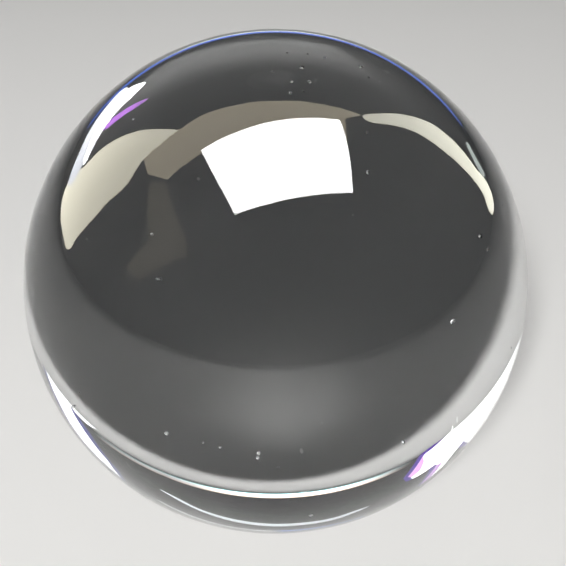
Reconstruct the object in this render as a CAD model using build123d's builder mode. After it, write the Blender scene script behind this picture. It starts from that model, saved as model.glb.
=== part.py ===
from build123d import *
import os

os.makedirs("parts", exist_ok=True)

# Crystal ball: one solid sphere of clear optical glass, ground and polished all over.
# It is cast, ground and polished as a single lump, so it has no seam, bore, cap or
# flat, and nothing is joined to it.
#
# Frame: origin at the centre of the ball, +Z up. At rest the ball touches a level
# surface at one point, straight below the centre, at Z = -ball_radius.

# Driving dimensions, in millimetres
ball_diameter = 80.0

# Derived
ball_radius = ball_diameter / 2

# The meridian is a half disc in the XZ plane with its straight side on the Z axis,
# turned once round that axis.
with BuildPart() as crystal_ball:
    with BuildSketch(Plane.XZ) as meridian:
        with BuildLine() as outline:
            south_pole = (0, -ball_radius)
            equator = (ball_radius, 0)
            north_pole = (0, ball_radius)
            rim = ThreePointArc(south_pole, equator, north_pole)
            axis = Line(north_pole, south_pole)
        make_face()
    revolve(axis=Axis.Z, revolution_arc=360)

crystal_ball.part.label = "crystal_ball"
export_step(crystal_ball.part, "parts/crystal_ball.step")

# The volume of a sphere of this radius, to compare with the solid that was made
expected = 4 / 3 * 3.141592653589793 * ball_radius**3
print(
    "crystal_ball: volume", round(crystal_ball.part.volume, 2),
    "mm3, expected", round(expected, 2),
    "mm3, valid", crystal_ball.part.is_valid,
)
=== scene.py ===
import math
import random

import bmesh
import bpy
import numpy as np
from mathutils import Matrix, Vector


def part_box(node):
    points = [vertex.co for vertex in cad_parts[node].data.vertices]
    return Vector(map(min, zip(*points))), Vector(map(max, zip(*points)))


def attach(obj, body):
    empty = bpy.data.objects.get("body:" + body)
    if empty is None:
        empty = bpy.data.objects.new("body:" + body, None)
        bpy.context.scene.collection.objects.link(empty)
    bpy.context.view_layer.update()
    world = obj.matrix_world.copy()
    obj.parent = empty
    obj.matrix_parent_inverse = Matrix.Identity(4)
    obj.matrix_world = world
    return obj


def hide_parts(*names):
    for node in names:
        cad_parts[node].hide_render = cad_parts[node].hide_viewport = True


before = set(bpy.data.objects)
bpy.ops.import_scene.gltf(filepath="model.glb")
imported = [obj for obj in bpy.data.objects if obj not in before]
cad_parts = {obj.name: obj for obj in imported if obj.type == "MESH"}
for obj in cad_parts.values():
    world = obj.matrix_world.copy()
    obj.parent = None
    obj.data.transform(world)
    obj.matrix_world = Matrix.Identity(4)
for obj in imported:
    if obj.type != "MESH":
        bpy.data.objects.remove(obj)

scene = bpy.context.scene
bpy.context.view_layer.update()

lo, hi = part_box("crystal_ball")
R = (hi.z - lo.z) / 2
CENTRE = Vector((0, 0, (hi.z + lo.z) / 2))
FLOOR_Z = lo.z


# ---------------------------------------------------------------- helpers

def new_mesh(name, verts, faces, smooth=True):
    me = bpy.data.meshes.new(name)
    me.from_pydata([tuple(v) for v in verts], [], [tuple(f) for f in faces])
    me.update()
    me.polygons.foreach_set("use_smooth", [smooth] * len(me.polygons))
    ob = bpy.data.objects.new(name, me)
    scene.collection.objects.link(ob)
    return ob


def node(nt, kind, **values):
    n = nt.nodes.new(kind)
    for key, value in values.items():
        setattr(n, key, value)
    return n


def direction(azimuth, elevation):
    """Unit vector; azimuth 0 is +Y, 90 is +X, in degrees."""
    a, e = math.radians(azimuth), math.radians(elevation)
    return Vector((math.sin(a) * math.cos(e), math.cos(a) * math.cos(e), math.sin(e)))


# ---------------------------------------------------------------- the ball

def cube_sphere(n):
    """Six n by n grids of quads, wrapped on the unit sphere with nearly equal cells and shared edges."""
    index, verts, faces = {}, [], []

    def corner(p):
        key = tuple(int(round(c * n)) for c in p)
        if key not in index:
            q = np.tan(np.array(p) * math.pi / 4)
            q = q / np.linalg.norm(q)
            index[key] = len(verts)
            verts.append(q)
        return index[key]

    axes = [
        ((1, 0, 0), (0, 1, 0), (0, 0, 1)),
        ((-1, 0, 0), (0, 0, 1), (0, 1, 0)),
        ((0, 1, 0), (0, 0, 1), (1, 0, 0)),
        ((0, -1, 0), (1, 0, 0), (0, 0, 1)),
        ((0, 0, 1), (1, 0, 0), (0, 1, 0)),
        ((0, 0, -1), (0, 1, 0), (1, 0, 0)),
    ]
    for w, u, v in axes:
        w, u, v = np.array(w, float), np.array(u, float), np.array(v, float)
        ids = [
            [corner(w + u * (2 * i / n - 1) + v * (2 * j / n - 1)) for j in range(n + 1)]
            for i in range(n + 1)
        ]
        for i in range(n):
            for j in range(n):
                faces.append((ids[i][j], ids[i + 1][j], ids[i + 1][j + 1], ids[i][j + 1]))
    return np.array(verts), faces


verts, faces = cube_sphere(96)
verts = [tuple(v) for v in verts * R + np.array(CENTRE)]

# Seeds: gas bubbles shut in the glass. Place in millimetres from the ball's centre, and radius.
SEEDS = [
    (3.4, -3.1, 34.5, 0.30), (4.3, -1.7, 37.2, 0.14), (6.5, -1.7, 36.4, 0.20), (1.6, -1.8, 37.4, 0.15),
    (-0.3, -3.2, 33.5, 0.15), (2.0, -1.0, 29.3, 0.16), (4.2, -3.3, 31.5, 0.20), (1.9, -8.0, 33.2, 0.17),
    (3.5, -7.6, 33.2, 0.12), (11.4, -2.8, 36.2, 0.24), (12.2, -4.6, 35.1, 0.16), (20.4, -1.3, 31.6, 0.12),
    (11.2, -13.0, 30.6, 0.15), (11.0, -16.5, 26.7, 0.22), (-12.8, -22.2, -6.2, 0.24), (-8.4, -20.4, -8.3, 0.12),
    (-6.6, -23.9, -7.0, 0.12), (-2.1, -21.3, -9.2, 0.20), (-2.2, -19.5, -10.8, 0.20), (0.1, -27.7, -7.8, 0.12),
    (15.1, -24.6, -6.7, 0.24), (26.1, -18.4, 19.2, 0.28), (27.1, -18.2, 17.0, 0.22), (35.2, -10.5, 13.2, 0.15),
    (31.0, -11.3, 19.9, 0.15), (21.5, -24.3, 10.3, 0.26),
]
rng = random.Random(7)
while len(SEEDS) < 40:
    p = Vector((rng.gauss(0, 1), rng.gauss(0, 1), rng.gauss(0, 1))).normalized() * (37.5 * rng.random() ** 0.4)
    if p.y > 4:
        SEEDS.append((p.x, p.y, p.z, rng.uniform(0.10, 0.24)))

seed_verts, seed_faces = cube_sphere(7)
for x, y, z, r in SEEDS:
    first = len(verts)
    stretch = 1 + 0.5 * rng.random()
    turn = Matrix.Rotation(rng.uniform(0, math.pi), 3, "Z") @ Matrix.Rotation(rng.uniform(0, math.pi), 3, "X")
    for v in seed_verts:
        q = turn @ Vector((v[0], v[1], v[2] * stretch))
        verts.append(tuple(CENTRE + (Vector((x, y, z)) + q * r) / 1000))
    faces += [tuple(first + i for i in reversed(f)) for f in seed_faces]
ball = new_mesh("crystal_ball_glass", verts, faces)


def glass_material():
    """Polished clear glass: faint smudges, a few hairlines from handling and sparse dust."""
    m = bpy.data.materials.new("polished_clear_glass")
    m.use_nodes = True
    nt = m.node_tree
    bsdf = nt.nodes["Principled BSDF"]
    bsdf.inputs["IOR"].default_value = 1.52
    bsdf.inputs["Transmission Weight"].default_value = 1.0
    link = nt.links.new

    def ramp(source, points):
        n = node(nt, "ShaderNodeValToRGB")
        el = n.color_ramp.elements
        while len(el) < len(points):
            el.new(0.5)
        for e, (pos, val) in zip(el, points):
            e.position = pos
            e.color = (val, val, val, 1)
        link(source, n.inputs["Fac"])
        return n.outputs["Color"]

    def maths(op, a, b=None, clamp=False):
        n = node(nt, "ShaderNodeMath", operation=op, use_clamp=clamp)
        for k, v in enumerate((a, b)):
            if v is None:
                continue
            if isinstance(v, (int, float)):
                n.inputs[k].default_value = v
            else:
                link(v, n.inputs[k])
        return n.outputs[0]

    coord = node(nt, "ShaderNodeTexCoord")
    mm = node(nt, "ShaderNodeVectorMath", operation="SCALE")
    mm.inputs["Scale"].default_value = 1000.0
    link(coord.outputs["Object"], mm.inputs[0])
    place = mm.outputs[0]

    # dust: a round speck in some of the cells, from 0.05 to 0.25 mm
    cells = node(nt, "ShaderNodeTexVoronoi", voronoi_dimensions="3D", feature="F1")
    cells.inputs["Scale"].default_value = 0.42
    cells.inputs["Randomness"].default_value = 1.0
    link(place, cells.inputs["Vector"])
    split = node(nt, "ShaderNodeSeparateColor")
    link(cells.outputs["Color"], split.inputs[0])
    size = maths("MULTIPLY", maths("POWER", split.outputs[0], 3.0), 0.085)
    speck = maths("LESS_THAN", cells.outputs["Distance"], size)
    gather = node(nt, "ShaderNodeTexNoise")
    gather.inputs["Scale"].default_value = 0.045
    gather.inputs["Detail"].default_value = 2.0
    link(place, gather.inputs["Vector"])
    dust = maths("MULTIPLY", speck, ramp(gather.outputs[0], [(0.42, 0.0), (0.56, 1.0)]))

    # smudges: broad soft patches where a hand held the ball
    smear = node(nt, "ShaderNodeTexNoise")
    smear.inputs["Scale"].default_value = 0.06
    smear.inputs["Detail"].default_value = 5.0
    smear.inputs["Roughness"].default_value = 0.62
    smear.inputs["Distortion"].default_value = 0.8
    link(place, smear.inputs["Vector"])
    smudge = maths("MULTIPLY", ramp(smear.outputs[0], [(0.50, 0.0), (0.72, 1.0)]), 0.035)

    # hairlines: long thin streaks in two directions
    lines = None
    for angle, seed in ((0.4, 0.0), (2.0, 31.0)):
        mp = node(nt, "ShaderNodeMapping")
        mp.inputs["Location"].default_value = (seed, seed * 2, seed * 3)
        mp.inputs["Rotation"].default_value = (angle, 0.6, angle * 1.7)
        mp.inputs["Scale"].default_value = (0.035, 2.6, 0.5)
        link(place, mp.inputs["Vector"])
        streak = node(nt, "ShaderNodeTexNoise")
        streak.inputs["Scale"].default_value = 1.0
        streak.inputs["Detail"].default_value = 1.0
        link(mp.outputs[0], streak.inputs["Vector"])
        thin = ramp(streak.outputs[0], [(0.765, 0.0), (0.785, 1.0)])
        lines = thin if lines is None else maths("MAXIMUM", lines, thin)

    rough = maths("ADD", smudge, maths("MULTIPLY", lines, 0.04))
    rough = maths("MAXIMUM", rough, maths("MULTIPLY", dust, 0.65))
    link(rough, bsdf.inputs["Roughness"])

    tint = node(nt, "ShaderNodeMix", data_type="RGBA")
    tint.inputs[6].default_value = (0.99, 0.995, 0.995, 1)
    tint.inputs[7].default_value = (0.86, 0.85, 0.82, 1)
    link(dust, tint.inputs[0])
    link(tint.outputs[2], bsdf.inputs["Base Color"])

    bump = node(nt, "ShaderNodeBump")
    bump.inputs["Strength"].default_value = 0.35
    bump.inputs["Distance"].default_value = 0.00003
    link(maths("SUBTRACT", dust, maths("MULTIPLY", lines, 0.15)), bump.inputs["Height"])
    link(bump.outputs[0], bsdf.inputs["Normal"])
    return m


ball.data.materials.append(glass_material())
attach(ball, "root")
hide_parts("crystal_ball")


# ---------------------------------------------------------------- stage

floor = new_mesh("floor", [(-4, -4, FLOOR_Z), (4, -4, FLOOR_Z), (4, 4, FLOOR_Z), (-4, 4, FLOOR_Z)], [(0, 1, 2, 3)], smooth=False)
fm = bpy.data.materials.new("floor")
fm.use_nodes = True
fb = fm.node_tree.nodes["Principled BSDF"]
fb.inputs["Base Color"].default_value = (0.80, 0.79, 0.77, 1)
fb.inputs["Roughness"].default_value = 0.9
fb.inputs["Specular IOR Level"].default_value = 0.0
floor.data.materials.append(fm)


def area(name, centre, size, turn_z, strength, color=(1, 1, 1), target=None, seen=("diffuse",)):
    """A rectangular light. strength is its radiance. seen lists the kinds of ray that meet it, besides shadow rays."""
    light = bpy.data.lights.new(name, "AREA")
    light.shape = "RECTANGLE"
    light.size, light.size_y = size
    light.color = color
    light.energy = strength * size[0] * size[1] * math.pi
    ob = bpy.data.objects.new(name, light)
    ob.location = centre
    if target is None:
        ob.rotation_euler = (0, 0, turn_z)
    else:
        ob.rotation_euler = (Vector(target) - Vector(centre)).to_track_quat("-Z", "Y").to_euler()
    scene.collection.objects.link(ob)
    ob.visible_camera = False
    ob.visible_diffuse = "diffuse" in seen
    ob.visible_glossy = "glossy" in seen
    ob.visible_transmission = "transmission" in seen
    return ob


def glow(name, strength, color, when):
    """An emission material. when is "always", or "mirror" for light that never falls on the floor through the ball,
    "caustic" for light that only does, or "seeds" for light that only comes through a seed. A color of None takes the mesh's own."""
    m = bpy.data.materials.new(name)
    m.use_nodes = True
    mt = m.node_tree
    mt.nodes.clear()
    out = node(mt, "ShaderNodeOutputMaterial")
    em = node(mt, "ShaderNodeEmission")
    em.inputs["Strength"].default_value = strength
    if color is None:
        own = node(mt, "ShaderNodeAttribute", attribute_name="level")
        mt.links.new(own.outputs["Color"], em.inputs["Color"])
    else:
        em.inputs["Color"].default_value = (*color, 1)
    mt.links.new(em.outputs[0], out.inputs["Surface"])
    gates = {
        "always": [],
        "mirror": [("Diffuse Depth", "LESS_THAN", 0.5)],
        "caustic": [("Diffuse Depth", "GREATER_THAN", 0.5)],
        # a seed adds two surfaces, but so does a trip to the floor and back through the ball
        "seeds": [("Transmission Depth", "GREATER_THAN", 3.5), ("Diffuse Depth", "LESS_THAN", 0.5)],
    }[when]
    if gates:
        path = node(mt, "ShaderNodeLightPath")
        level = None
        for depth, operation, limit in gates:
            gate = node(mt, "ShaderNodeMath", operation=operation)
            gate.inputs[1].default_value = limit
            mt.links.new(path.outputs[depth], gate.inputs[0])
            times = node(mt, "ShaderNodeMath", operation="MULTIPLY")
            mt.links.new(gate.outputs[0], times.inputs[0])
            if level is None:
                times.inputs[1].default_value = strength
            else:
                mt.links.new(level, times.inputs[1])
            level = times.outputs[0]
        mt.links.new(level, em.inputs["Strength"])
    return m


def show(ob, seen):
    ob.visible_camera = False
    ob.visible_shadow = False
    ob.visible_diffuse = "diffuse" in seen
    ob.visible_glossy = "glossy" in seen
    ob.visible_transmission = "transmission" in seen


def card(name, centre, size, target, strength, color=(1, 1, 1), seen=("transmission",), when="always", turn=0.0):
    """A glowing rectangle that faces target. strength is its radiance."""
    w, h = size[0] / 2, size[1] / 2
    ob = new_mesh(name, [(-w, -h, 0), (w, -h, 0), (w, h, 0), (-w, h, 0)], [(0, 1, 2, 3)], smooth=False)
    aim_at = (Vector(target) - Vector(centre)).to_track_quat("Z", "Y").to_matrix().to_4x4()
    ob.matrix_world = Matrix.Translation(centre) @ aim_at @ Matrix.Rotation(turn, 4, "Z")
    ob.data.materials.append(glow(name, strength, color, when))
    show(ob, seen)
    return ob


def panel(name, azimuth, reach, points, strength, color, seen=("glossy", "transmission"), when="mirror", round_off=True):
    """A glowing sheet on the upright plane that faces the ball from this azimuth, reach metres off. points are metres sideways and up from the ball's centre."""
    facing, side = direction(azimuth, 0), direction(azimuth + 90, 0)
    lowest = FLOOR_Z - CENTRE.z + 0.001
    verts = [CENTRE + facing * reach + side * x + Vector((0, 0, max(z, lowest))) for x, z in (smooth(points) if round_off else points)]
    ob = new_mesh(name, verts, [tuple(range(len(verts)))], smooth=False)
    ob.data.materials.append(glow(name, strength, color, when))
    show(ob, seen)
    return ob


def ceiling(name, height, rays, strength, color, seen=("glossy",), when="mirror"):
    """A glowing sheet lying flat above the ball. rays are directions of its corners, as azimuth and elevation."""
    flat = [direction(a, e) * (height / math.sin(math.radians(e))) for a, e in rays]
    verts = [CENTRE + Vector((p.x, p.y, height)) for p in flat]
    ob = new_mesh(name, verts, [tuple(range(len(verts)))], smooth=False)
    ob.data.materials.append(glow(name, strength, color, when))
    show(ob, seen)
    return ob


def smooth(points, per=4):
    """The closed outline with rounded sides, through the same corners (Catmull-Rom)."""
    n, out = len(points), []
    for i in range(n):
        p0, p1, p2, p3 = (np.array(points[(i + k - 1) % n]) for k in range(4))
        for j in range(per):
            t = j / per
            q = 0.5 * (2 * p1 + (p2 - p0) * t + (2 * p0 - 5 * p1 + 4 * p2 - p3) * t * t + (3 * p1 - p0 - 3 * p2 + p3) * t ** 3)
            out.append((float(q[0]), float(q[1])))
    return out


def strip(name, azimuth, reach, rows, strength, seen=("glossy", "transmission"), when="mirror"):
    """A long glowing strip with its own colours. rows go upwards; each is a colour and its line of (sideways, up, level)."""
    facing, side = direction(azimuth, 0), direction(azimuth + 90, 0)
    verts, levels, faces = [], [], []
    for color, line in rows:
        for x, z, level in line:
            verts.append(CENTRE + facing * reach + side * x + Vector((0, 0, z)))
            levels.append((color[0] * level, color[1] * level, color[2] * level, 1.0))
    n = len(rows[0][1])
    for i in range(len(rows) - 1):
        for j in range(n - 1):
            k = i * n + j
            faces.append((k, k + 1, k + n + 1, k + n))
    ob = new_mesh(name, verts, faces, smooth=False)
    attribute = ob.data.attributes.new("level", "FLOAT_COLOR", "POINT")
    for value, level in zip(attribute.data, levels):
        value.color = level
    ob.data.materials.append(glow(name, strength, None, when))
    show(ob, seen)
    return ob


def grown(points, by):
    """The outline moved outwards from its middle by this many metres."""
    mx = sum(x for x, z in points) / len(points)
    mz = sum(z for x, z in points) / len(points)
    out = []
    for x, z in points:
        d = math.hypot(x - mx, z - mz) or 1
        out.append((x + (x - mx) / d * by, z + (z - mz) / d * by))
    return out


# ---------------------------------------------------------------- lights

# The large overhead softbox, which the ball mirrors as a bright four-sided patch.
TOP = CENTRE + Vector((0.0355, -0.0808, 0.8))
area("window_softbox_mirrored", TOP, (0.754, 0.517), math.radians(15.7), 26.0, seen=("glossy",))
area("window_softbox", TOP, (0.754, 0.517), math.radians(15.7), 0.25, seen=("diffuse", "transmission"))

card("window_softbox_seeds", TOP, (0.754, 0.517), TOP - Vector((0, 0, 1)), 14.0, when="seeds", turn=math.radians(-15.7))

# The key light stands in front, above the camera, so the ball's shadow falls behind it.
KEY = CENTRE + direction(198, 37) * 2.0
key = area("key_softbox", KEY, (0.40, 0.40), 0, 27.0, target=CENTRE, seen=("diffuse",))
key.data.spread = math.radians(90)
card("key_softbox_caustic", CENTRE + direction(182, 41.5) * 2.0, (0.30, 0.22), CENTRE, 2.6, when="caustic")

# Warm reflectors on the left and overhead.
panel("left_reflector", -80, 0.9, [(0.03, 0.041), (0.158, 0.035), (0.271, 0.035), (0.383, 0.058), (0.429, 0.118), (0.401, 0.228), (0.434, 0.365), (0.439, 0.516), (0.43, 0.688), (0.389, 0.941), (0.324, 1.274), (0.159, 0.957), (0.129, 0.804), (-0.011, 0.616), (-0.022, 0.426), (-0.022, 0.275), (0.006, 0.141)], 7.0, (1.0, 0.95, 0.76), seen=("glossy",))
panel("side_reflector", -100, 0.9, [(0.189, 0.845), (0.114, 1.026), (-0.485, 0.893), (-0.603, 0.788), (-0.43, 0.544), (-0.286, 0.306), (-0.142, 0.299), (-0.194, 0.569)], 0.6, (1.0, 0.88, 0.62), seen=("glossy",), round_off=False)
ceiling("overhead_reflector", 0.86, [(-70.4, 40.7), (-68.6, 45.6), (-59.0, 52.4), (-46.5, 57.3), (-27.1, 63.9), (-0.2, 66.3), (30.6, 61.8), (48.9, 52.2), (50.2, 59.8), (88.8, 64.0), (-83.4, 64.0), (-89.1, 56.1), (-92.9, 49.5), (-82.2, 42.5)], 3.2, (1.0, 0.88, 0.64))

# Strip lights on the right.
panel("right_strip", 52, 1.0, [(0.025, 1.224), (-0.059, 1.268), (-0.075, 0.966), (-0.09, 0.724), (-0.094, 0.572), (-0.093, 0.426), (-0.072, 0.337), (-0.048, 0.261), (-0.013, 0.188), (0.013, 0.132), (0.009, 0.052), (0.039, 0.007), (0.097, -0.009), (0.186, 0.012), (0.183, 0.066), (0.14, 0.103), (0.127, 0.195), (0.118, 0.301), (0.103, 0.429), (0.072, 0.564), (0.047, 0.736), (0.042, 0.929)], 7.0, (1.0, 0.98, 0.82), seen=("glossy",))
panel("right_strip_thin", 52, 1.0, [(-0.156, 0.1), (-0.084, 0.079), (-0.034, 0.036), (0.007, 0.075), (-0.025, 0.119), (-0.109, 0.137)], 2.5, (0.9, 1.0, 0.95), seen=("glossy",))
RIGHT_WINDOW = [(0.033, -0.056), (0.027, -0.039), (0.019, -0.012), (0.01, 0.015), (0.006, 0.052), (-0.012, 0.08), (-0.038, 0.098), (-0.061, 0.111), (-0.073, 0.125), (-0.081, 0.058), (-0.07, 0.031), (-0.058, 0.004), (-0.047, -0.019), (-0.045, -0.037), (-0.057, -0.031), (-0.082, -0.03), (-0.108, -0.048), (-0.032, -0.056)]
panel("right_window", 45, 0.40, RIGHT_WINDOW, 3.0, (0.96, 0.97, 1.0), seen=("transmission",), round_off=False)
panel("right_window_fringe", 45, 0.42, grown(RIGHT_WINDOW, 0.026), 0.35, (0.10, 0.12, 0.9), seen=("transmission",), round_off=False)

# Strip lights on the far left, with slits that show as violet points.
LEFT_WINDOW = [(-0.186, -0.019), (-0.096, -0.044), (-0.019, -0.044), (0.065, -0.044), (0.101, -0.043), (0.122, -0.03), (0.137, -0.026), (0.139, -0.003), (0.143, 0.024), (0.128, 0.046), (0.108, 0.047), (0.087, 0.043), (0.079, 0.056), (0.072, 0.132), (0.041, 0.106), (0.04, 0.065), (0.03, 0.041), (-0.029, 0.109), (-0.066, 0.11), (-0.089, 0.088), (-0.11, 0.066), (-0.131, 0.044), (-0.152, 0.02), (-0.179, -0.011)]
panel("left_window", -42, 0.40, LEFT_WINDOW, 3.0, (0.98, 1.0, 0.98), seen=("transmission",), round_off=False)
panel("left_window_point_a", -42, 0.395, [(0.137, -0.026), (0.139, -0.003), (0.143, 0.024), (0.132, 0.036), (0.122, 0.024), (0.126, 0.0)], 1.3, (0.92, 0.5, 1.0), seen=("transmission",), round_off=False)
panel("left_window_point_b", -42, 0.395, [(0.08, 0.052), (0.073, 0.132), (0.058, 0.118), (0.062, 0.06)], 1.3, (0.82, 0.42, 1.0), seen=("transmission",), round_off=False)
panel("left_window_fringe", -42, 0.42, grown(LEFT_WINDOW, 0.018), 0.5, (0.22, 0.08, 0.9), seen=("transmission",), round_off=False)
panel("left_low_strip", -42, 0.40, [(-0.103, 0.1), (-0.062, 0.094), (-0.016, 0.088), (0.027, 0.084), (0.065, 0.075), (0.089, 0.081), (0.092, 0.116), (0.085, 0.138), (0.047, 0.145), (0.015, 0.134), (-0.021, 0.128), (-0.059, 0.121), (-0.103, 0.114)], 14.0, (0.97, 0.98, 1.0), seen=("glossy",))
panel("left_low_strip_edge", -42, 0.41, [(-0.118, 0.053), (-0.084, 0.056), (-0.041, 0.063), (0.018, 0.057), (0.067, 0.052), (0.106, 0.049), (0.087, 0.085), (0.065, 0.075), (0.027, 0.084), (-0.016, 0.088), (-0.062, 0.094), (-0.103, 0.1), (-0.131, 0.081)], 6.0, (0.9, 0.93, 1.0), seen=("glossy",))
panel("left_low_strip_point", -42, 0.40, [(-0.025, 0.118), (0.0, 0.153), (0.012, 0.187), (0.023, 0.229), (-0.003, 0.208), (-0.019, 0.175), (-0.035, 0.142)], 6.0, (0.64, 0.2, 1.0), seen=("glossy",))

# Strips behind the ball, seen through it upside down along its lower edge.
LEVELS = [(-0.50, 0.0), (-0.43, 0.12), (-0.35, 0.4), (-0.25, 0.8), (-0.12, 1.0), (0.0, 1.0), (0.1, 0.95), (0.18, 0.72), (0.27, 0.42), (0.38, 0.24), (0.51, 0.2), (0.66, 0.17), (0.76, 0.08), (0.81, 0.0)]
strip("far_strip", 0, 1.2, [
    ((0.35, 1.0, 1.0), [(x, -0.031, v * 0.4) for x, v in LEVELS]),
    ((0.8, 1.0, 1.0), [(x, -0.024, v) for x, v in LEVELS]),
    ((1.0, 1.0, 1.0), [(x, -0.012, v) for x, v in LEVELS]),
    ((1.0, 0.9, 0.82), [(x, 0.0, v) for x, v in LEVELS]),
    ((1.0, 0.65, 0.45), [(x, 0.011, v * 0.2) for x, v in LEVELS]),
], 2.4)
panel("high_far_line", 3, 0.8, [(0.267, 0.121), (0.225, 0.158), (0.164, 0.213), (0.099, 0.255), (0.032, 0.283), (-0.041, 0.3), (-0.11, 0.303), (-0.2, 0.304), (-0.264, 0.273), (-0.309, 0.241), (-0.256, 0.235), (-0.193, 0.258), (-0.107, 0.252), (-0.041, 0.25), (0.028, 0.236), (0.093, 0.213), (0.157, 0.184), (0.218, 0.133)], 1.3, (0.9, 0.96, 1.0), seen=("transmission",))
panel("high_far_band", 3, 0.81, [(0.34, 0.33), (0.2, 0.40), (0.077, 0.425), (-0.041, 0.43), (-0.041, 0.475), (0.077, 0.475), (0.2, 0.46), (0.34, 0.37)], 1.1, (0.95, 0.98, 1.0), seen=("transmission",))
panel("high_far_band_blue", 3, 0.81, [(-0.041, 0.43), (-0.15, 0.435), (-0.278, 0.46), (-0.36, 0.49), (-0.36, 0.51), (-0.278, 0.49), (-0.15, 0.475), (-0.041, 0.475)], 1.3, (0.14, 0.34, 1.0), seen=("transmission",))
panel("far_blue_line", 0, 1.21, [(-0.7, 0.014), (0.7, 0.014), (0.7, 0.075), (-0.7, 0.075)], 1.6, (0.12, 0.25, 1.0), seen=("glossy",))

world = bpy.data.worlds.new("studio")
scene.world = world
world.use_nodes = True
wt = world.node_tree
sky = wt.nodes["Background"]
sky.inputs["Color"].default_value = (0.5, 0.52, 0.55, 1)
where = node(wt, "ShaderNodeTexCoord")
split = node(wt, "ShaderNodeSeparateXYZ")
rise = node(wt, "ShaderNodeMapRange")
rise.inputs["From Min"].default_value = 0.0
rise.inputs["From Max"].default_value = 0.35
rise.inputs["To Min"].default_value = 0.030
rise.inputs["To Max"].default_value = 0.075
wt.links.new(where.outputs["Generated"], split.inputs[0])
wt.links.new(split.outputs["Z"], rise.inputs["Value"])
wt.links.new(rise.outputs[0], sky.inputs["Strength"])

# ---------------------------------------------------------------- camera

ELEVATION = 34.0
DISTANCE = 3.4 * R
HALF_BALL_PX, CX, CY, FRAME = 252.5, 276.2, 281.4, 566.0
tangent = math.tan(math.asin(R / DISTANCE))
cam_data = bpy.data.cameras.new("camera")
cam_data.sensor_width = 36.0
cam_data.lens = 18.0 / (tangent * (FRAME / 2) / HALF_BALL_PX)
cam_data.clip_start = 0.005
cam_data.clip_end = 50
cam = bpy.data.objects.new("camera", cam_data)
scene.collection.objects.link(cam)
back = Vector((0, -math.cos(math.radians(ELEVATION)), math.sin(math.radians(ELEVATION))))
cam.location = CENTRE + back * DISTANCE
right, up = Vector((1, 0, 0)), Vector((1, 0, 0)).cross(-back)
px = tangent * DISTANCE / HALF_BALL_PX
aim = CENTRE + right * (FRAME / 2 - CX) * px - up * (FRAME / 2 - CY) * px
cam.rotation_euler = (aim - cam.location).to_track_quat("-Z", "Y").to_euler()
scene.camera = cam

scene.view_settings.view_transform = "Standard"
scene.cycles.use_denoising = True
scene.cycles.blur_glossy = 0.0
scene.cycles.max_bounces = 24
scene.cycles.transmission_bounces = 24
scene.cycles.glossy_bounces = 16
